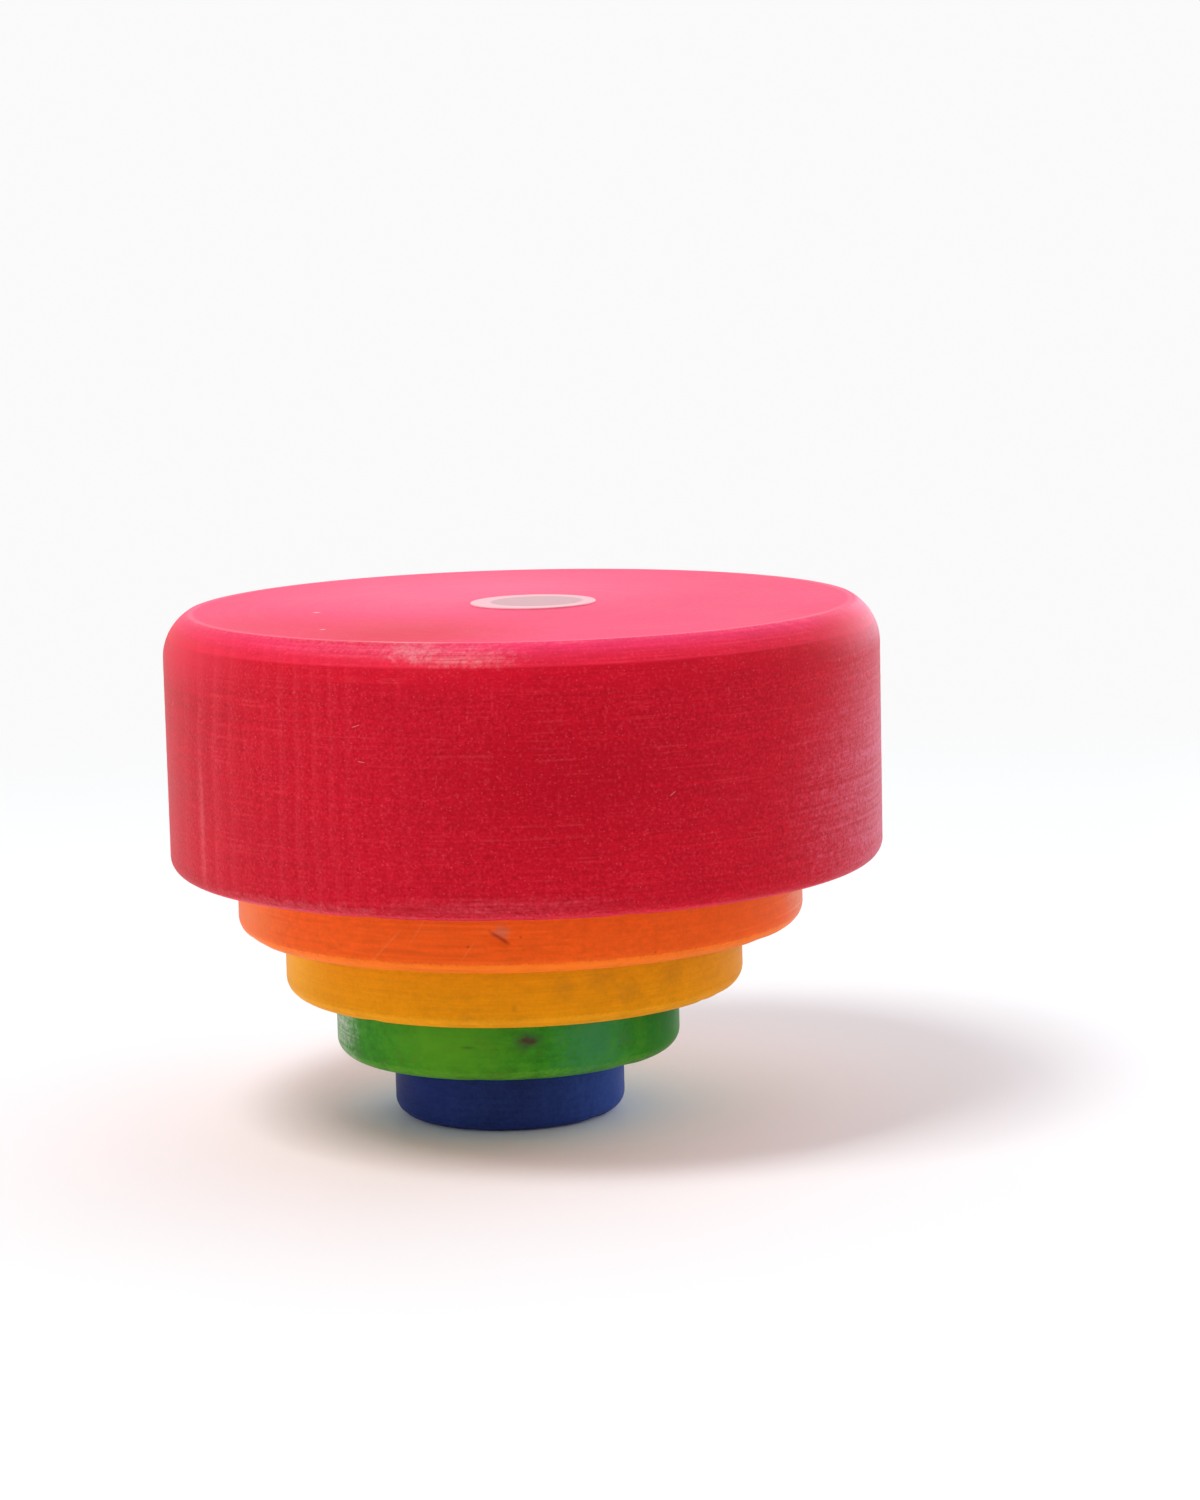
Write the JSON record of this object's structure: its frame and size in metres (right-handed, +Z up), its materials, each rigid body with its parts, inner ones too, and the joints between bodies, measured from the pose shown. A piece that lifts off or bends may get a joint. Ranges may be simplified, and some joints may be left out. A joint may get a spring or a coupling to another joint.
{
  "type": "stacking bowl set",
  "caption": "Nested turned wooden bowls in stained colours, stacked upside down on the rim of the smallest; each lifts off the one below. Toy for stacking, nesting and pouring.",
  "frame": {"origin": "on the largest bowl's axis, at the height of the surface that the stack stands on", "axes": "+Z up along the bowls' axes, which are parallel; the loose smaller bowls sit pushed over towards -X, and the label lies off the axis towards +X"},
  "size_m": [0.1, 0.1, 0.0722],
  "materials": {
    "blue_wood": "satin oiled stain",
    "green_wood": "satin oiled stain",
    "yellow_wood": "satin oiled stain",
    "orange_wood": "satin oiled stain",
    "red_wood": "satin oiled stain",
    "label_paper": "matt"
  },
  "bodies": {
    "blue": {"blue_bowl": "blue_wood"},
    "green": {"green_bowl": "green_wood"},
    "yellow": {"yellow_bowl": "yellow_wood"},
    "orange": {"orange_bowl": "orange_wood"},
    "red": {"red_bowl": "red_wood", "round_label": "label_paper"}
  },
  "joints": [
    {"name": "green_lift", "type": "slide", "parent": "blue", "child": "green", "axis": [0, 0, 1], "range_m": [0, 0.036]},
    {"name": "yellow_lift", "type": "slide", "parent": "green", "child": "yellow", "axis": [0, 0, 1], "range_m": [0, 0.036]},
    {"name": "orange_lift", "type": "slide", "parent": "yellow", "child": "orange", "axis": [0, 0, 1], "range_m": [0, 0.036]},
    {"name": "red_lift", "type": "slide", "parent": "orange", "child": "red", "axis": [0, 0, 1], "range_m": [0, 0.036]}
  ]
}
